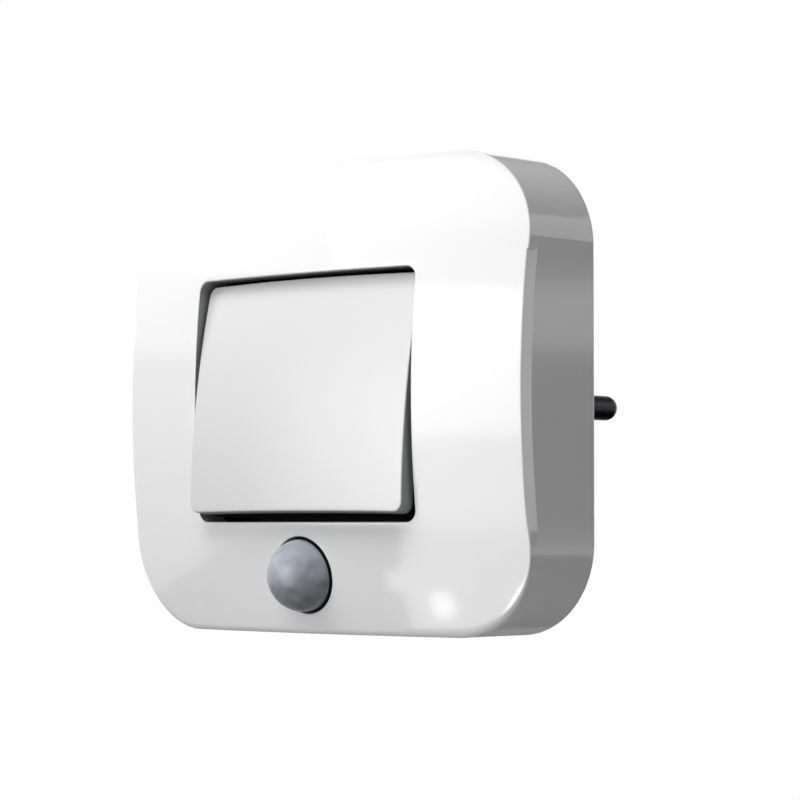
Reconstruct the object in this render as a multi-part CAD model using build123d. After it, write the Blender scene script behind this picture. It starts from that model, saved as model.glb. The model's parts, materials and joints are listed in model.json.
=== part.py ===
from build123d import *
from math import asin, cos, degrees, radians, sin, sqrt, tan
import os

# Plug-in night light shaped like a rocker light switch, with a motion sensor.
# Frame: seen from the front, X runs right and Z up; +Y runs into the wall.
# The origin is the middle of the plug's end face, where the two pins stand out.
# Sizes are millimetres and degrees. Names in capitals are set by hand; names in
# small letters are worked out from them.

# ---- Mains plug: flat two-pin type ------------------------------------------
PIN_R = 2.0                 # bare tip of a pin
PIN_LENGTH = 19.0
PIN_SPACING = 18.6
PIN_CORE_R = 1.4            # pin inside its sleeve and inside the plug body
PIN_TAIL = 1.0              # pin end that stands out behind the plug flange
PIN_END_ROUND = 1.95
SLEEVE_R = 1.8
SLEEVE_LENGTH = 10.0
SLEEVE_SEAT = 2.2           # sleeve inside the plug body
PLUG_WIDTH = 35.3
PLUG_HEIGHT = 13.7
PLUG_CHAMFER = 4.6
PLUG_CORNER_R = 1.2
PLUG_LENGTH = 19.1          # from the plinth to the end face
PLUG_EDGE_R = 0.8
PLUG_WALL = 2.6             # around the pocket between the pins
FLANGE_LIP_X = 4.0
FLANGE_LIP_Z = 1.6
FLANGE_T = 1.5
FLANGE_GAP = 0.3

# ---- Housing ----------------------------------------------------------------
WIDTH = 81.0
HEIGHT = 70.5
DEPTH = 21.4                # middle of the face over the rear rim
CORNER_R = 13.7
CROWN_R_UP = 148.0          # face curve seen from the side
CROWN_R_ACROSS = 168.0      # face curve seen from above
EDGE_R = 1.1                # between the face and the side wall
WALL = 2.0
REAR_INSET = 0.4            # rear cover below the rim
REAR_WALL = 2.0
REAR_GAP = 0.15             # rear cover to side wall
PLINTH_DEPTH = 5.9
PLINTH_WALL = 2.5
PLINTH_CORNER_R = 4.0
PLINTH_EDGE_R = 1.0
BOSS_R = 3.0
BOSS_INSET_X = 9.5          # screw boss from the side of the housing
BOSS_INSET_Z = 9.25
VENT_WIDTH = 1.6
VENT_LENGTH = 9.0
VENT_PITCH = 4.0
VENT_COUNT = 7
VENT_Z = 22.0

# ---- Opening and rocker -----------------------------------------------------
BAND_SIDE = 18.1            # housing's face beside the opening
BAND_END = 16.7             # and above and below it
OPEN_R = 1.8
OPEN_EDGE_R = 0.2
COLLAR_WALL = 1.5
COLLAR_DEPTH = 7.5          # behind the middle of the face
ROCKER_SIDE_GAP = 0.53      # rocker to opening, left and right
ROCKER_END_GAP = 0.98       # rocker to opening, above and below, held level
ROCKER_R = 1.5
ROCKER_EDGE_R = 0.4
ROCKER_PROUD = 0.2          # rocker face over the housing face, held level
ROCKER_WALL = 1.6
SKIRT_WALL = 1.6
SKIRT_REACH = 3.1           # skirt behind the pivot
PIVOT_DEPTH = 4.9           # pivot behind the middle of the face
TILT = 7.2                  # rocker either way from level
PIVOT_PIN_R = 1.0
PIVOT_CLEARANCE = 0.05
PIVOT_PIN_GRIP = 2.3        # pin inside the rocker's lug
LUG_T = 2.05                # rocker's lug, inward from its skirt
LUG_R = 2.5
LUG_BORE = 2.6
KEEL_T = 2.6
KEEL_R = 3.2                # pivot to the ridge between the keel's two flats
KEEL_HALF = 3.0
RIB_Z = 7.0                 # pushing rib below the pivot
RIB_T = 2.4
RIB_R = 1.0
RIB_REACH = 3.0             # rib tip behind the pivot

# ---- Switch frame inside the opening ----------------------------------------
RUN_GAP = 0.3               # between pieces that move past each other
SWING_GAP = 0.4             # skirt to frame floor at full tilt
FLOOR_T = 1.4
EAR_T = 2.5
EAR_R = 1.9
LEAF_T = 0.4
LEAF_Z = 8.0                # leaf spring's supports above and below the pivot
LEAF_END = 1.5
POST_DEPTH = 2.0
WINDOW_H = 21.0
WINDOW_GAP = 1.12           # diffuser to keel
DIFFUSER_LIP = 1.0
DIFFUSER_T = 1.4
TAB_REACH = 4.0             # screw tab from the frame's side
TAB_Z = 13.0
TAB_R = 3.0

# ---- Motion sensor ----------------------------------------------------------
LENS_UP = 8.75              # lens axis over the housing's lower side
LENS_R = 5.45
LENS_HOLE_R = 5.86
LENS_WALL = 0.6
LENS_RISE = -0.2            # dome's centre in front of the face
LENS_FLANGE_R = 6.3
LENS_FLANGE_T = 0.7
LENS_SEAT = 0.4             # flange seat behind the inner wall
LENS_RING_R = 7.5
RETAINER_R = 4.7
RETAINER_T = 1.0
PRESS_GAP = 0.03
SENSOR_R = 4.1
SENSOR_BASE_R = 4.6
SENSOR_BASE_T = 0.6
SENSOR_H = 4.0
SPACER_H = 3.0
DAYLIGHT_X = 9.5            # daylight sensor beside the motion sensor
DAYLIGHT_R = 1.5
DAYLIGHT_H = 4.5

# ---- Boards and what sits on them --------------------------------------------
BOARD_T = 1.2
BOARD_MARGIN = 0.8          # board to side wall
BOARD_REAR_GAP = 1.9        # board to rear cover
BOARD_BOSS_GAP = 0.5
LED_BOARD_LIP = 1.5         # LED board past the light window
LED_BOARD_T = 1.0
LED_SIZE = (3.5, 2.8)
LED_T = 0.7
LED_SPREAD = 0.262          # LEDs from the middle, as a share of the window
HEADER_SIZE = (10.0, 2.5)
HEADER_INSET = 1.5          # header below the window's upper side
SWITCH_SIZE = 6.2
SWITCH_GAP = 0.2            # switch body behind the frame floor
PLUNGER_R = 1.5
PLUNGER_CLEARANCE = 0.05
PLUNGER_TAIL = 0.6          # plunger inside the frame floor at rest
PLUNGER_END_R = 0.5
FILM_CAP_SIZE = (10.0, 13.0)
FILM_CAP_T = 7.0
ROUND_CAP_R = 4.0
ROUND_CAP_LENGTH = 12.0
RECTIFIER_SIZE = (8.0, 6.4)
RECTIFIER_T = 3.2
RECTIFIER_X = -18.0
VARISTOR_R = 4.5
VARISTOR_T = 3.5
VARISTOR_X = -6.5
FUSE_R = 2.2
FUSE_LENGTH = 10.0
FUSE_X = 6.5
CHIP_SIZE = (6.0, 5.0)
CHIP_T = 1.6
CHIP_X = 18.5
RESISTOR_SIZE = (1.25, 2.0)
RESISTOR_T = 0.55
RESISTOR_PITCH = 3.0
RESISTOR_FIRST_X = 13.0
RESISTOR_COUNT = 4
STRIP_WIDTH = 5.0
STRIP_T = 0.6
STRIP_Z = 5.5               # upright leg above the pins
PART_EDGE_R = 0.4

# ---- Screws -----------------------------------------------------------------
SCREW_R = 1.1
SCREW_HEAD_R = 2.2
SCREW_HEAD_T = 1.0
SCREW_GRIP = 7.0            # thread inside the boss
WELL_GAP = 0.3
SLOT_WIDTH = 0.6
SLOT_DEPTH = 0.5
BOARD_SCREW_R = 0.9
BOARD_SCREW_HEAD_R = 1.9
BOARD_SCREW_HEAD_T = 0.9
BOARD_SCREW_GRIP = 4.0
PLUG_SCREW_GRIP = 1.8
HOLE_GAP = 0.2              # clearance hole round a screw

CUT = 1.0                   # how far a cutter runs past what it cuts

# ---- Places worked out from the sizes ----------------------------------------
plinth_y = -PLUG_LENGTH
plinth_inner_y = plinth_y - PLINTH_WALL
flange_y = plinth_inner_y - FLANGE_T
pin_end_y = flange_y - PIN_TAIL
rim_y = plinth_y - PLINTH_DEPTH
rear_y = rim_y - REAR_INSET
rear_inner_y = rear_y - REAR_WALL
face_y = rim_y - DEPTH
crown_axis_y = face_y + CROWN_R_ACROSS
ahead_y = face_y - ROCKER_PROUD - CUT
pivot_y = face_y + PIVOT_DEPTH
collar_y = face_y + COLLAR_DEPTH

open_w = WIDTH - 2 * BAND_SIDE
open_h = HEIGHT - 2 * BAND_END
rocker_w = open_w - 2 * ROCKER_SIDE_GAP
rocker_h = open_h - 2 * ROCKER_END_GAP
frame_w = open_w + 2 * COLLAR_WALL
frame_h = open_h + 2 * COLLAR_WALL
swing = SKIRT_REACH * cos(radians(TILT)) + rocker_h / 2 * sin(radians(TILT))
floor_front_y = pivot_y + swing + SWING_GAP
floor_back_y = floor_front_y + FLOOR_T
board_back_y = rear_inner_y - BOARD_REAR_GAP
board_y = board_back_y - BOARD_T
led_board_back_y = floor_back_y + LED_BOARD_T

lug_x = rocker_w / 2 - SKIRT_WALL - LUG_T
ear_x = lug_x - RUN_GAP
ear_inner_x = ear_x - EAR_T
keel_x = ear_inner_x - RUN_GAP - KEEL_T / 2
rib_x = -(ear_x + ear_inner_x) / 2
leaf_y = pivot_y + KEEL_R + RUN_GAP
rib_centre_y = pivot_y + (RIB_REACH - RIB_R) * cos(radians(TILT)) - RIB_Z * sin(radians(TILT))
plunger_y = rib_centre_y + RIB_R + RUN_GAP

boss_x = WIDTH / 2 - BOSS_INSET_X
boss_z = HEIGHT / 2 - BOSS_INSET_Z
tab_x = frame_w / 2 + TAB_REACH
side_bay_x = (frame_w / 2 + WIDTH / 2 - WALL) / 2
top_bay_z = (frame_h / 2 + HEIGHT / 2 - WALL) / 2
flange_w = PLUG_WIDTH + 2 * FLANGE_LIP_X
flange_h = PLUG_HEIGHT + 2 * FLANGE_LIP_Z
hollow_w = flange_w + 2 * FLANGE_GAP
hollow_h = flange_h + 2 * FLANGE_GAP
hollow_r = PLINTH_CORNER_R - PLINTH_WALL
plug_screw_x = (PLUG_WIDTH + FLANGE_LIP_X) / 2
window_w = 2 * (keel_x - KEEL_T / 2 - WINDOW_GAP - DIFFUSER_LIP)
lens_z = LENS_UP - HEIGHT / 2

four_ways = [(x, z) for x in (-1, 1) for z in (-1, 1)]
boss_places = [(x * boss_x, z * boss_z) for x, z in four_ways]
tab_places = [(x * tab_x, z * TAB_Z) for x, z in four_ways]
pin_places = [(-PIN_SPACING / 2, 0), (PIN_SPACING / 2, 0)]
plug_screw_places = [(-plug_screw_x, 0), (plug_screw_x, 0)]


def crown_y(x, z):
    """Depth of the housing's crowned face at a point of the front view."""
    reach = CROWN_R_ACROSS - CROWN_R_UP + sqrt(CROWN_R_UP ** 2 - z ** 2)
    return crown_axis_y - sqrt(reach ** 2 - x ** 2)


lens_slope = asin(-lens_z / CROWN_R_UP)
lens_out = Vector(0, -cos(lens_slope), -sin(lens_slope))
lens_plane = Plane((0, crown_y(0, lens_z), lens_z), x_dir=(1, 0, 0), z_dir=lens_out)
lens_seat = WALL + LENS_SEAT
sensor_front_y = board_y - SPACER_H - SENSOR_H
sensor_z = lens_z + (sensor_front_y - crown_y(0, lens_z)) * tan(lens_slope)


# ---- Helpers ----------------------------------------------------------------
def slab(outline, back, front):
    """A flat outline in X and Z, solid from y = back forward to y = front."""
    return extrude(Plane.XZ.offset(-back) * outline, amount=back - front)


def rods(places, radius, back, front):
    """Round rods along Y at the given X, Z places, as one list."""
    return [slab(Pos(x, z) * Circle(radius), back, front) for x, z in places]


def block(x, z, size, back, front):
    """A box along Y round the place x, z of the front view."""
    return slab(Pos(x, z) * Rectangle(*size), back, front)


def cross_rod(x_low, x_high, radius, y, z):
    """A round rod along X."""
    return extrude(Plane.YZ.offset(x_low) * Pos(y, z) * Circle(radius), amount=x_high - x_low)


def lens_rod(radius, low, high):
    """A round rod along the lens axis, between two heights over the face."""
    return extrude(lens_plane.offset(low) * Circle(radius), amount=high - low)


def crowned(inset):
    """All that lies behind the crowned face, moved in by inset: an arc turned
    round an upright axis."""
    radius = CROWN_R_UP - inset
    neck = CROWN_R_ACROSS - CROWN_R_UP
    end_y = crown_axis_y + neck + sqrt(radius ** 2 - HEIGHT ** 2)
    arc = ThreePointArc((end_y, -HEIGHT), (crown_axis_y + neck + radius, 0), (end_y, HEIGHT))
    axle = Polyline((end_y, HEIGHT), (crown_axis_y, HEIGHT), (crown_axis_y, -HEIGHT), (end_y, -HEIGHT))
    profile = make_face(Plane.YZ * (Curve() + arc + axle))
    return revolve(profile, Axis((0, crown_axis_y, 0), (0, 0, 1)), 360)


def housing_outline(inset):
    """The housing's rounded rectangle, moved in by inset."""
    return RectangleRounded(WIDTH - 2 * inset, HEIGHT - 2 * inset, CORNER_R - inset)


def plug_outline(gap):
    """The plug's flattened profile with sloping corners."""
    outline = Rectangle(PLUG_WIDTH + 2 * gap, PLUG_HEIGHT + 2 * gap)
    outline = chamfer(outline.vertices(), PLUG_CHAMFER)
    return fillet(outline.vertices(), PLUG_CORNER_R)


def front_edges(solid, y_limit, half_w, half_h):
    """Edges of a solid in front of y_limit and inside a front-view rectangle."""
    return solid.edges().filter_by(
        lambda e: e.center().Y < y_limit and abs(e.center().X) < half_w and abs(e.center().Z) < half_h
    )


def rounded_block(x, z, size, back, front):
    """A moulded component's body: a box with its front edges rounded."""
    body = block(x, z, size, back, front)
    return fillet(body.faces().sort_by(Axis.Y)[0].edges(), PART_EDGE_R)


def screws(places, seat, radius, grip, head_r, head_t):
    """Screws driven in from behind: slotted heads on y = seat, threads forward."""
    group = []
    for x, z in places:
        (shank,) = rods([(x, z)], radius, seat, seat - grip)
        (head,) = rods([(x, z)], head_r, seat + head_t, seat)
        slots = block(x, z, (2 * head_r, SLOT_WIDTH), seat + head_t, seat + head_t - SLOT_DEPTH)
        slots += block(x, z, (SLOT_WIDTH, 2 * head_r), seat + head_t, seat + head_t - SLOT_DEPTH)
        group.append(shank + (head - slots))
    return Compound(group)


# ---- Housing pieces ----------------------------------------------------------
def front_cover():
    blank = slab(housing_outline(0), rim_y, ahead_y) & crowned(0)
    edge_y = crown_y(WIDTH / 2, HEIGHT / 2) + EDGE_R
    blank = fillet(front_edges(blank, edge_y, WIDTH, HEIGHT), EDGE_R)
    cover = blank - (slab(housing_outline(WALL), rim_y, ahead_y) & crowned(WALL))

    inside = slab(RectangleRounded(frame_w, frame_h, OPEN_R + COLLAR_WALL), collar_y, ahead_y)
    inside += rods(boss_places, BOSS_R, rear_inner_y, ahead_y)
    inside += rods(tab_places, TAB_R, floor_front_y, ahead_y)
    inside += lens_rod(LENS_RING_R, -lens_seat - LENS_FLANGE_T - RETAINER_T, CUT)
    cover += inside & blank

    cover -= slab(RectangleRounded(open_w, open_h, OPEN_R), floor_front_y, ahead_y)
    cover -= lens_rod(LENS_HOLE_R, -lens_seat - CUT, CUT)
    cover -= lens_rod(LENS_FLANGE_R + PRESS_GAP, -lens_seat - LENS_FLANGE_T - RETAINER_T, -lens_seat)
    cover -= rods(boss_places, SCREW_R, rear_inner_y, rear_inner_y - SCREW_GRIP)
    cover -= rods(tab_places, BOARD_SCREW_R, floor_front_y, floor_front_y - BOARD_SCREW_GRIP)
    edge_y = crown_y(open_w / 2, open_h / 2) + OPEN_EDGE_R
    return fillet(front_edges(cover, edge_y, open_w / 2 + OPEN_EDGE_R, open_h / 2 + OPEN_EDGE_R), OPEN_EDGE_R)


def rear_cover():
    plate = slab(housing_outline(WALL + REAR_GAP), rear_y, rear_inner_y)
    plinth_w = hollow_w + 2 * PLINTH_WALL
    plinth_h = hollow_h + 2 * PLINTH_WALL
    plinth = slab(RectangleRounded(plinth_w, plinth_h, PLINTH_CORNER_R), plinth_y, rear_inner_y)
    plinth = fillet(plinth.faces().sort_by(Axis.Y)[-1].edges(), PLINTH_EDGE_R)
    cover = plate + plinth
    cover -= slab(RectangleRounded(hollow_w, hollow_h, hollow_r), plinth_inner_y, rear_inner_y)
    cover -= slab(plug_outline(PRESS_GAP), plinth_y, plinth_inner_y)
    cover -= rods(plug_screw_places, BOARD_SCREW_R, plinth_inner_y + PLUG_SCREW_GRIP, plinth_inner_y)
    cover -= rods(boss_places, SCREW_R + HOLE_GAP, rear_y, rear_inner_y)
    cover -= rods(boss_places, SCREW_HEAD_R + WELL_GAP, rear_y, rear_y - SCREW_HEAD_T)
    first = -(VENT_COUNT - 1) / 2
    for row in (-VENT_Z, VENT_Z):
        for number in range(VENT_COUNT):
            x = (first + number) * VENT_PITCH
            cover -= slab(Pos(x, row) * SlotOverall(VENT_LENGTH, VENT_WIDTH, rotation=90), rear_y, rear_inner_y)
    return cover


def plug_body():
    body = slab(plug_outline(0), 0, plinth_inner_y)
    body = fillet(body.faces().sort_by(Axis.Y)[-1].edges(), PLUG_EDGE_R)
    body += slab(RectangleRounded(flange_w, flange_h, hollow_r - FLANGE_GAP), plinth_inner_y, flange_y)
    pocket_w = PIN_SPACING - 2 * (PIN_CORE_R + PLUG_WALL)
    body -= block(0, 0, (pocket_w, PLUG_HEIGHT - 2 * PLUG_WALL), -PLUG_WALL, flange_y)
    body -= rods(pin_places, PIN_CORE_R, 0, flange_y)
    body -= rods(pin_places, SLEEVE_R + PRESS_GAP, 0, -SLEEVE_SEAT)
    body -= rods(plug_screw_places, BOARD_SCREW_R + HOLE_GAP, plinth_inner_y, flange_y)
    return body


def plug_pin(side):
    x = side * PIN_SPACING / 2
    (core,) = rods([(x, 0)], PIN_CORE_R, SLEEVE_LENGTH, pin_end_y)
    (tip,) = rods([(x, 0)], PIN_R, PIN_LENGTH, SLEEVE_LENGTH)
    return core + fillet(tip.edges().sort_by(Axis.Y)[-1], PIN_END_ROUND)


def pin_sleeves():
    outer = rods(pin_places, SLEEVE_R, SLEEVE_LENGTH, -SLEEVE_SEAT)
    inner = rods(pin_places, PIN_CORE_R, SLEEVE_LENGTH, -SLEEVE_SEAT)
    return Compound([tube - bore for tube, bore in zip(outer, inner)])


def contact_strip(side):
    x = side * PIN_SPACING / 2
    foot_h = STRIP_Z + STRIP_WIDTH / 2
    foot = block(x, (STRIP_Z - STRIP_WIDTH / 2) / 2, (STRIP_WIDTH, foot_h), pin_end_y, pin_end_y - STRIP_T)
    leg = block(x, STRIP_Z - STRIP_T / 2, (STRIP_WIDTH, STRIP_T), pin_end_y - STRIP_T, board_back_y)
    return foot + leg


# ---- Rocker and what carries it ----------------------------------------------
def rocker():
    back = pivot_y + SKIRT_REACH
    blank = slab(RectangleRounded(rocker_w, rocker_h, ROCKER_R), back, ahead_y) & crowned(-ROCKER_PROUD)
    edge_y = crown_y(rocker_w / 2, rocker_h / 2) + ROCKER_EDGE_R
    blank = fillet(front_edges(blank, edge_y, rocker_w, rocker_h), ROCKER_EDGE_R)
    hollow_w = rocker_w - 2 * SKIRT_WALL
    hollow = slab(Rectangle(hollow_w, rocker_h - 2 * SKIRT_WALL), back, ahead_y)
    cap = blank - (hollow & crowned(ROCKER_WALL - ROCKER_PROUD))

    half_t = KEEL_T / 2
    flat_drop = KEEL_HALF * tan(radians(TILT))
    keel = Polygon(
        (ahead_y, -KEEL_HALF), (pivot_y + KEEL_R - flat_drop, -KEEL_HALF), (pivot_y + KEEL_R, 0),
        (pivot_y + KEEL_R - flat_drop, KEEL_HALF), (ahead_y, KEEL_HALF), align=None,
    )
    inside = extrude(Plane.YZ.offset(keel_x - half_t) * keel, amount=KEEL_T)
    rib_tip_y = pivot_y + RIB_REACH - RIB_R
    inside += block(rib_x, -RIB_Z, (RIB_T, 2 * RIB_R), rib_tip_y, ahead_y)
    inside += cross_rod(rib_x - RIB_T / 2, rib_x + RIB_T / 2, RIB_R, rib_tip_y, -RIB_Z)
    for low in (-rocker_w / 2 + SKIRT_WALL, lug_x):
        inside += cross_rod(low, low + LUG_T, LUG_R, pivot_y, 0)
        lug_w = abs(pivot_y - ahead_y)
        inside += Pos(low + LUG_T / 2, pivot_y - lug_w / 2, 0) * Box(LUG_T, lug_w, 2 * LUG_R)
    cap += inside & blank
    bore_r = PIVOT_PIN_R + PIVOT_CLEARANCE
    cap -= cross_rod(lug_x, lug_x + LUG_BORE, bore_r, pivot_y, 0)
    cap -= cross_rod(-lug_x - LUG_BORE, -lug_x, bore_r, pivot_y, 0)
    return cap.rotate(Axis((0, pivot_y, 0), (1, 0, 0)), -TILT)


def pivot_pins():
    pin_out_x = lug_x + PIVOT_PIN_GRIP
    return Compound([
        cross_rod(ear_inner_x, pin_out_x, PIVOT_PIN_R, pivot_y, 0),
        cross_rod(-pin_out_x, -ear_inner_x, PIVOT_PIN_R, pivot_y, 0),
    ])


def switch_frame():
    outer = RectangleRounded(frame_w, frame_h, OPEN_R + COLLAR_WALL)
    frame = slab(outer, floor_back_y, collar_y)
    frame -= slab(RectangleRounded(open_w, open_h, OPEN_R), floor_front_y, collar_y)
    for x, z in tab_places:
        middle = x - TAB_REACH / 2 if x > 0 else x + TAB_REACH / 2
        frame += block(middle, z, (TAB_REACH, 2 * TAB_R), floor_back_y, floor_front_y)
    frame += rods(tab_places, TAB_R, board_y, floor_front_y)
    ear_back = floor_front_y
    for low in (-ear_x, ear_inner_x):
        ear = Pos(low + EAR_T / 2, (pivot_y + ear_back) / 2, 0) * Box(EAR_T, ear_back - pivot_y, 2 * EAR_R)
        ear += cross_rod(low, low + EAR_T, EAR_R, pivot_y, 0)
        frame += ear - cross_rod(low, low + EAR_T, PIVOT_PIN_R, pivot_y, 0)
    for z in (-LEAF_Z, LEAF_Z):
        frame += block(keel_x, z, (KEEL_T, POST_DEPTH), floor_front_y, leaf_y + LEAF_T)
    frame -= block(0, 0, (window_w, WINDOW_H), floor_back_y, floor_front_y)
    frame -= rods([(rib_x, -RIB_Z)], PLUNGER_R + PLUNGER_CLEARANCE, floor_back_y, floor_front_y)
    frame -= rods(tab_places, BOARD_SCREW_R + HOLE_GAP, board_y, floor_front_y)
    return frame


def detent_spring():
    length = 2 * (LEAF_Z + LEAF_END)
    return block(keel_x, 0, (KEEL_T, length), leaf_y + LEAF_T, leaf_y)


def diffuser_plate():
    size = (window_w + 2 * DIFFUSER_LIP, WINDOW_H + 2 * DIFFUSER_LIP)
    return rounded_block(0, 0, size, floor_front_y, floor_front_y - DIFFUSER_T)


# ---- Switch ------------------------------------------------------------------
def micro_switch():
    front = floor_back_y + SWITCH_GAP
    body = rounded_block(rib_x, -RIB_Z, (SWITCH_SIZE, SWITCH_SIZE), board_y, front)
    (guide,) = rods([(rib_x, -RIB_Z)], PLUNGER_R + RUN_GAP, board_y, front)
    return body - guide


def switch_plunger():
    (rod,) = rods([(rib_x, -RIB_Z)], PLUNGER_R, floor_front_y + PLUNGER_TAIL, plunger_y)
    return fillet(rod.edges().sort_by(Axis.Y)[0], PLUNGER_END_R)


# ---- Motion sensor -----------------------------------------------------------
def sensor_lens():
    section = Plane(lens_plane.origin, x_dir=(1, 0, 0), z_dir=Vector(1, 0, 0).cross(lens_out))
    inner = LENS_R - LENS_WALL
    diagonal = sqrt(0.5)
    outer_arc = ThreePointArc((LENS_R, LENS_RISE), (LENS_R * diagonal, LENS_RISE + LENS_R * diagonal),
                              (0, LENS_RISE + LENS_R))
    inner_arc = ThreePointArc((0, LENS_RISE + inner), (inner * diagonal, LENS_RISE + inner * diagonal),
                              (inner, LENS_RISE))
    flange_back = -lens_seat - LENS_FLANGE_T
    outside = Polyline((inner, LENS_RISE), (inner, flange_back), (LENS_FLANGE_R, flange_back),
                       (LENS_FLANGE_R, -lens_seat), (LENS_R, -lens_seat), (LENS_R, LENS_RISE))
    top = Line((0, LENS_RISE + LENS_R), (0, LENS_RISE + inner))
    profile = make_face(section * (Curve() + outer_arc + top + inner_arc + outside))
    return revolve(profile, Axis(lens_plane.origin, lens_out), 360)


def lens_retainer():
    back = -lens_seat - LENS_FLANGE_T - RETAINER_T
    front = -lens_seat - LENS_FLANGE_T
    return lens_rod(LENS_FLANGE_R + PRESS_GAP, back, front) - lens_rod(RETAINER_R, back, front)


def sensor_spacer():
    (post,) = rods([(0, sensor_z)], SENSOR_R, board_y, board_y - SPACER_H)
    return post


def motion_sensor():
    base_y = board_y - SPACER_H
    (base,) = rods([(0, sensor_z)], SENSOR_BASE_R, base_y, base_y - SENSOR_BASE_T)
    (can,) = rods([(0, sensor_z)], SENSOR_R, base_y - SENSOR_BASE_T, sensor_front_y)
    can = fillet(can.edges().sort_by(Axis.Y)[0], PART_EDGE_R)
    return base + can


def daylight_sensor():
    (body,) = rods([(DAYLIGHT_X, sensor_z)], DAYLIGHT_R, board_y, board_y - DAYLIGHT_H)
    return fillet(body.edges().sort_by(Axis.Y)[0], DAYLIGHT_R - PART_EDGE_R)


# ---- Boards ------------------------------------------------------------------
def main_board():
    board = slab(housing_outline(WALL + BOARD_MARGIN), board_back_y, board_y)
    board -= rods(boss_places, BOSS_R + BOARD_BOSS_GAP, board_back_y, board_y)
    board -= rods(tab_places, BOARD_SCREW_R + HOLE_GAP, board_back_y, board_y)
    return board


def led_board():
    size = (window_w + 2 * LED_BOARD_LIP, WINDOW_H + 2 * LED_BOARD_LIP)
    return block(0, 0, size, led_board_back_y, floor_back_y)


def leds():
    return Compound([
        block(x * window_w * LED_SPREAD, z * WINDOW_H * LED_SPREAD, LED_SIZE, floor_back_y, floor_back_y - LED_T)
        for x, z in four_ways
    ])


def board_header():
    return block(0, WINDOW_H / 2 - HEADER_INSET, HEADER_SIZE, board_y, led_board_back_y)


def film_capacitor():
    return rounded_block(-side_bay_x, 0, FILM_CAP_SIZE, board_y, board_y - FILM_CAP_T)


def round_capacitor():
    can = Plane.XY.offset(-ROUND_CAP_LENGTH / 2) * Pos(side_bay_x, board_y - ROUND_CAP_R) * Circle(ROUND_CAP_R)
    can = extrude(can, amount=ROUND_CAP_LENGTH)
    return fillet(can.edges().filter_by(GeomType.CIRCLE), PART_EDGE_R)


def bridge_rectifier():
    return rounded_block(RECTIFIER_X, top_bay_z, RECTIFIER_SIZE, board_y, board_y - RECTIFIER_T)


def varistor():
    (disc,) = rods([(VARISTOR_X, top_bay_z)], VARISTOR_R, board_y, board_y - VARISTOR_T)
    return fillet(disc.edges().sort_by(Axis.Y)[0], PART_EDGE_R)


def fuse_resistor():
    half = FUSE_LENGTH / 2
    body = cross_rod(FUSE_X - half, FUSE_X + half, FUSE_R, board_y - FUSE_R, top_bay_z)
    return fillet(body.edges().filter_by(GeomType.CIRCLE), PART_EDGE_R)


def controller_chip():
    return rounded_block(CHIP_X, top_bay_z, CHIP_SIZE, board_y, board_y - CHIP_T)


def chip_resistors():
    group = []
    for side in (-1, 1):
        for number in range(RESISTOR_COUNT):
            x = side * (RESISTOR_FIRST_X + number * RESISTOR_PITCH)
            group.append(block(x, -top_bay_z, RESISTOR_SIZE, board_y, board_y - RESISTOR_T))
    return Compound(group)


# ---- Screws ------------------------------------------------------------------
def housing_screws():
    seat = rear_y - SCREW_HEAD_T
    grip = seat - rear_inner_y + SCREW_GRIP
    return screws(boss_places, seat, SCREW_R, grip, SCREW_HEAD_R, SCREW_HEAD_T)


def board_screws():
    grip = board_back_y - floor_front_y + BOARD_SCREW_GRIP
    return screws(tab_places, board_back_y, BOARD_SCREW_R, grip, BOARD_SCREW_HEAD_R, BOARD_SCREW_HEAD_T)


def plug_screws():
    """Driven in from inside, towards the wall."""
    group = []
    for x, z in plug_screw_places:
        (shank,) = rods([(x, z)], BOARD_SCREW_R, plinth_inner_y + PLUG_SCREW_GRIP, flange_y)
        (head,) = rods([(x, z)], BOARD_SCREW_HEAD_R, flange_y, flange_y - BOARD_SCREW_HEAD_T)
        group.append(shank + head)
    return Compound(group)


nodes = {
    "front_cover": front_cover(),
    "rear_cover": rear_cover(),
    "plug_body": plug_body(),
    "pin_left": plug_pin(-1),
    "pin_right": plug_pin(1),
    "pin_sleeves": pin_sleeves(),
    "contact_strip_left": contact_strip(-1),
    "contact_strip_right": contact_strip(1),
    "rocker": rocker(),
    "pivot_pins": pivot_pins(),
    "switch_frame": switch_frame(),
    "detent_spring": detent_spring(),
    "diffuser_plate": diffuser_plate(),
    "micro_switch": micro_switch(),
    "switch_plunger": switch_plunger(),
    "sensor_lens": sensor_lens(),
    "lens_retainer": lens_retainer(),
    "sensor_spacer": sensor_spacer(),
    "motion_sensor": motion_sensor(),
    "daylight_sensor": daylight_sensor(),
    "main_board": main_board(),
    "led_board": led_board(),
    "leds": leds(),
    "board_header": board_header(),
    "film_capacitor": film_capacitor(),
    "round_capacitor": round_capacitor(),
    "bridge_rectifier": bridge_rectifier(),
    "varistor": varistor(),
    "fuse_resistor": fuse_resistor(),
    "controller_chip": controller_chip(),
    "chip_resistors": chip_resistors(),
    "housing_screws": housing_screws(),
    "board_screws": board_screws(),
    "plug_screws": plug_screws(),
}

os.makedirs("parts", exist_ok=True)
for name, shape in nodes.items():
    export_step(shape, f"parts/{name}.step")

travel = 2 * RIB_Z * sin(radians(TILT))
print(f"pivot y {pivot_y:.3f}, plunger travel {travel:.3f} mm, ratio {travel / radians(2 * TILT):.4f} mm/rad")
print(f"rim y {rim_y:.2f}, face y {face_y:.2f}, board y {board_y:.2f}, lens tilt {degrees(lens_slope):.2f}")
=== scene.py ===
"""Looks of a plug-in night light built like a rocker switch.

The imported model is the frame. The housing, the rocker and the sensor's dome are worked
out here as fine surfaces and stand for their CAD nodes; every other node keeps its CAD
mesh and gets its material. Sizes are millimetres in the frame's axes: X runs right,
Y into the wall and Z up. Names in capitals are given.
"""
import json
import math

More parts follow.
